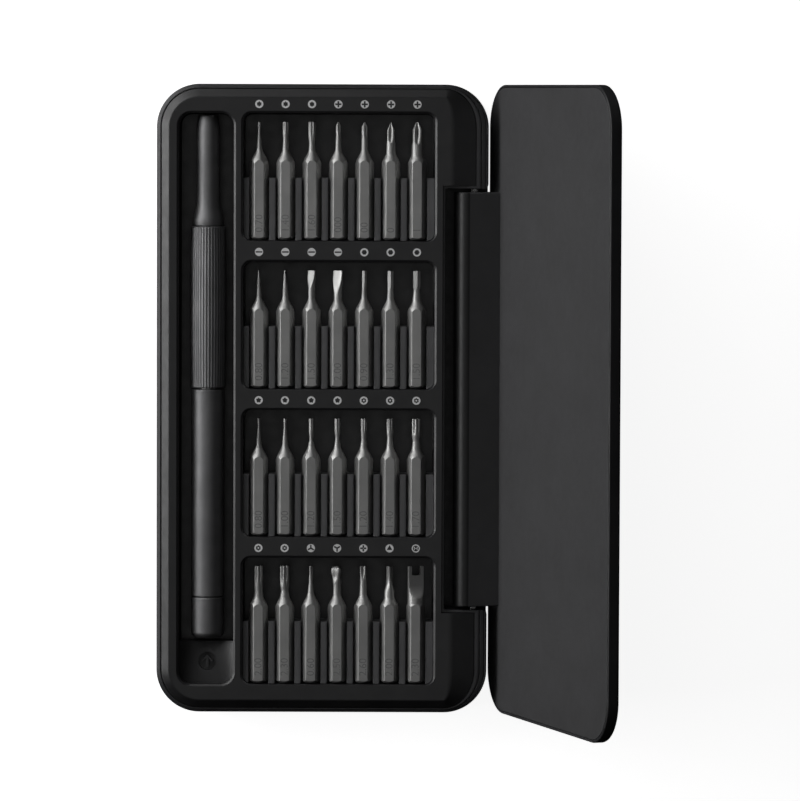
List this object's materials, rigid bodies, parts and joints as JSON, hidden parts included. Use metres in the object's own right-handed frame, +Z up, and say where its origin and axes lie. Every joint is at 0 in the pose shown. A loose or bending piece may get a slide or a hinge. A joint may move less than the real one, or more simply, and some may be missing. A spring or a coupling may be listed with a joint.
{
  "type": "precision screwdriver set",
  "caption": "Flat hinged case holding a slim precision screwdriver with a spinning cap and rows of small hex bits in channels.",
  "frame": {"origin": "centre of the case's flat underside", "axes": "+Z up out of the tray, +Y along the driver towards its nose, +X towards the hinge side, where the open lid stands"},
  "size_m": [0.1081, 0.1504, 0.0787],
  "materials": {
    "case_metal": "dark grey anodised, satin",
    "tray_plastic": "matte moulded, fine texture",
    "holder_plastic": "matte moulded",
    "lid_plastic": "matte, fine texture",
    "driver_metal": "dark grey anodised, satin",
    "bit_steel": "satin tool steel",
    "pin_steel": "ground steel",
    "magnet_nickel": "nickel plated",
    "bush_brass": "turned brass"
  },
  "bodies": {
    "case": {"case_shell": "case_metal", "tray": "tray_plastic", "latch_magnet_far": "magnet_nickel", "latch_magnet_near": "magnet_nickel", "bit_holder_1": "holder_plastic", "bit_holder_2": "holder_plastic", "bit_holder_3": "holder_plastic", "bit_holder_4": "holder_plastic", "magnet_strip_1": "magnet_nickel", "magnet_strip_2": "magnet_nickel", "magnet_strip_3": "magnet_nickel", "magnet_strip_4": "magnet_nickel"},
    "lid": {"lid_shell": "case_metal", "lid_lining": "lid_plastic", "hinge_pin_far": "pin_steel", "hinge_pin_near": "pin_steel", "latch_plate_far": "pin_steel", "latch_plate_near": "pin_steel"},
    "driver": {"driver_nose": "driver_metal", "driver_magnet": "magnet_nickel", "driver_grip": "driver_metal", "driver_barrel": "driver_metal", "driver_core": "pin_steel", "cap_bushing": "bush_brass"},
    "cap": {"driver_cap": "driver_metal", "cap_pin": "pin_steel"},
    "bit_six_lobe_1": {"bit_six_lobe_1": "bit_steel"},
    "bit_six_lobe_2": {"bit_six_lobe_2": "bit_steel"},
    "bit_six_lobe_3": {"bit_six_lobe_3": "bit_steel"},
    "bit_cross_1": {"bit_cross_1": "bit_steel"},
    "bit_cross_2": {"bit_cross_2": "bit_steel"},
    "bit_cross_3": {"bit_cross_3": "bit_steel"},
    "bit_cross_4": {"bit_cross_4": "bit_steel"},
    "bit_slot_1": {"bit_slot_1": "bit_steel"},
    "bit_slot_2": {"bit_slot_2": "bit_steel"},
    "bit_slot_3": {"bit_slot_3": "bit_steel"},
    "bit_slot_4": {"bit_slot_4": "bit_steel"},
    "bit_hex_1": {"bit_hex_1": "bit_steel"},
    "bit_hex_2": {"bit_hex_2": "bit_steel"},
    "bit_hex_3": {"bit_hex_3": "bit_steel"},
    "bit_five_lobe_1": {"bit_five_lobe_1": "bit_steel"},
    "bit_five_lobe_2": {"bit_five_lobe_2": "bit_steel"},
    "bit_five_lobe_3": {"bit_five_lobe_3": "bit_steel"},
    "bit_five_lobe_4": {"bit_five_lobe_4": "bit_steel"},
    "bit_six_lobe_post_1": {"bit_six_lobe_post_1": "bit_steel"},
    "bit_six_lobe_post_2": {"bit_six_lobe_post_2": "bit_steel"},
    "bit_six_lobe_post_3": {"bit_six_lobe_post_3": "bit_steel"},
    "bit_six_lobe_post_4": {"bit_six_lobe_post_4": "bit_steel"},
    "bit_six_lobe_post_5": {"bit_six_lobe_post_5": "bit_steel"},
    "bit_tri_point_1": {"bit_tri_point_1": "bit_steel"},
    "bit_tri_wing_1": {"bit_tri_wing_1": "bit_steel"},
    "bit_cross_post_1": {"bit_cross_post_1": "bit_steel"},
    "bit_triangle_1": {"bit_triangle_1": "bit_steel"},
    "bit_fork_1": {"bit_fork_1": "bit_steel"}
  },
  "joints": [
    {"name": "lid_hinge", "type": "hinge", "parent": "case", "child": "lid", "pos_m": [0.0363, 0, 0.0088], "axis": [0, 1, 0], "range_deg": [-109.2, 0]},
    {"name": "driver_lift", "type": "slide", "parent": "case", "child": "driver", "axis": [0, 0, 1], "range_m": [0, 0.03]},
    {"name": "cap_spin", "type": "hinge", "parent": "driver", "child": "cap", "pos_m": [-0.0274, -0.052, 0.0089], "axis": [0, 1, 0], "continuous": true},
    {"name": "six_lobe_1_lift", "type": "slide", "parent": "case", "child": "bit_six_lobe_1", "axis": [0, 0, 1], "range_m": [0, 0.025]},
    {"name": "six_lobe_2_lift", "type": "slide", "parent": "case", "child": "bit_six_lobe_2", "axis": [0, 0, 1], "range_m": [0, 0.025]},
    {"name": "six_lobe_3_lift", "type": "slide", "parent": "case", "child": "bit_six_lobe_3", "axis": [0, 0, 1], "range_m": [0, 0.025]},
    {"name": "cross_1_lift", "type": "slide", "parent": "case", "child": "bit_cross_1", "axis": [0, 0, 1], "range_m": [0, 0.025]},
    {"name": "cross_2_lift", "type": "slide", "parent": "case", "child": "bit_cross_2", "axis": [0, 0, 1], "range_m": [0, 0.025]},
    {"name": "cross_3_lift", "type": "slide", "parent": "case", "child": "bit_cross_3", "axis": [0, 0, 1], "range_m": [0, 0.025]},
    {"name": "cross_4_lift", "type": "slide", "parent": "case", "child": "bit_cross_4", "axis": [0, 0, 1], "range_m": [0, 0.025]},
    {"name": "slot_1_lift", "type": "slide", "parent": "case", "child": "bit_slot_1", "axis": [0, 0, 1], "range_m": [0, 0.025]},
    {"name": "slot_2_lift", "type": "slide", "parent": "case", "child": "bit_slot_2", "axis": [0, 0, 1], "range_m": [0, 0.025]},
    {"name": "slot_3_lift", "type": "slide", "parent": "case", "child": "bit_slot_3", "axis": [0, 0, 1], "range_m": [0, 0.025]},
    {"name": "slot_4_lift", "type": "slide", "parent": "case", "child": "bit_slot_4", "axis": [0, 0, 1], "range_m": [0, 0.025]},
    {"name": "hex_1_lift", "type": "slide", "parent": "case", "child": "bit_hex_1", "axis": [0, 0, 1], "range_m": [0, 0.025]},
    {"name": "hex_2_lift", "type": "slide", "parent": "case", "child": "bit_hex_2", "axis": [0, 0, 1], "range_m": [0, 0.025]},
    {"name": "hex_3_lift", "type": "slide", "parent": "case", "child": "bit_hex_3", "axis": [0, 0, 1], "range_m": [0, 0.025]},
    {"name": "five_lobe_1_lift", "type": "slide", "parent": "case", "child": "bit_five_lobe_1", "axis": [0, 0, 1], "range_m": [0, 0.025]},
    {"name": "five_lobe_2_lift", "type": "slide", "parent": "case", "child": "bit_five_lobe_2", "axis": [0, 0, 1], "range_m": [0, 0.025]},
    {"name": "five_lobe_3_lift", "type": "slide", "parent": "case", "child": "bit_five_lobe_3", "axis": [0, 0, 1], "range_m": [0, 0.025]},
    {"name": "five_lobe_4_lift", "type": "slide", "parent": "case", "child": "bit_five_lobe_4", "axis": [0, 0, 1], "range_m": [0, 0.025]},
    {"name": "six_lobe_post_1_lift", "type": "slide", "parent": "case", "child": "bit_six_lobe_post_1", "axis": [0, 0, 1], "range_m": [0, 0.025]},
    {"name": "six_lobe_post_2_lift", "type": "slide", "parent": "case", "child": "bit_six_lobe_post_2", "axis": [0, 0, 1], "range_m": [0, 0.025]},
    {"name": "six_lobe_post_3_lift", "type": "slide", "parent": "case", "child": "bit_six_lobe_post_3", "axis": [0, 0, 1], "range_m": [0, 0.025]},
    {"name": "six_lobe_post_4_lift", "type": "slide", "parent": "case", "child": "bit_six_lobe_post_4", "axis": [0, 0, 1], "range_m": [0, 0.025]},
    {"name": "six_lobe_post_5_lift", "type": "slide", "parent": "case", "child": "bit_six_lobe_post_5", "axis": [0, 0, 1], "range_m": [0, 0.025]},
    {"name": "tri_point_1_lift", "type": "slide", "parent": "case", "child": "bit_tri_point_1", "axis": [0, 0, 1], "range_m": [0, 0.025]},
    {"name": "tri_wing_1_lift", "type": "slide", "parent": "case", "child": "bit_tri_wing_1", "axis": [0, 0, 1], "range_m": [0, 0.025]},
    {"name": "cross_post_1_lift", "type": "slide", "parent": "case", "child": "bit_cross_post_1", "axis": [0, 0, 1], "range_m": [0, 0.025]},
    {"name": "triangle_1_lift", "type": "slide", "parent": "case", "child": "bit_triangle_1", "axis": [0, 0, 1], "range_m": [0, 0.025]},
    {"name": "fork_1_lift", "type": "slide", "parent": "case", "child": "bit_fork_1", "axis": [0, 0, 1], "range_m": [0, 0.025]}
  ]
}
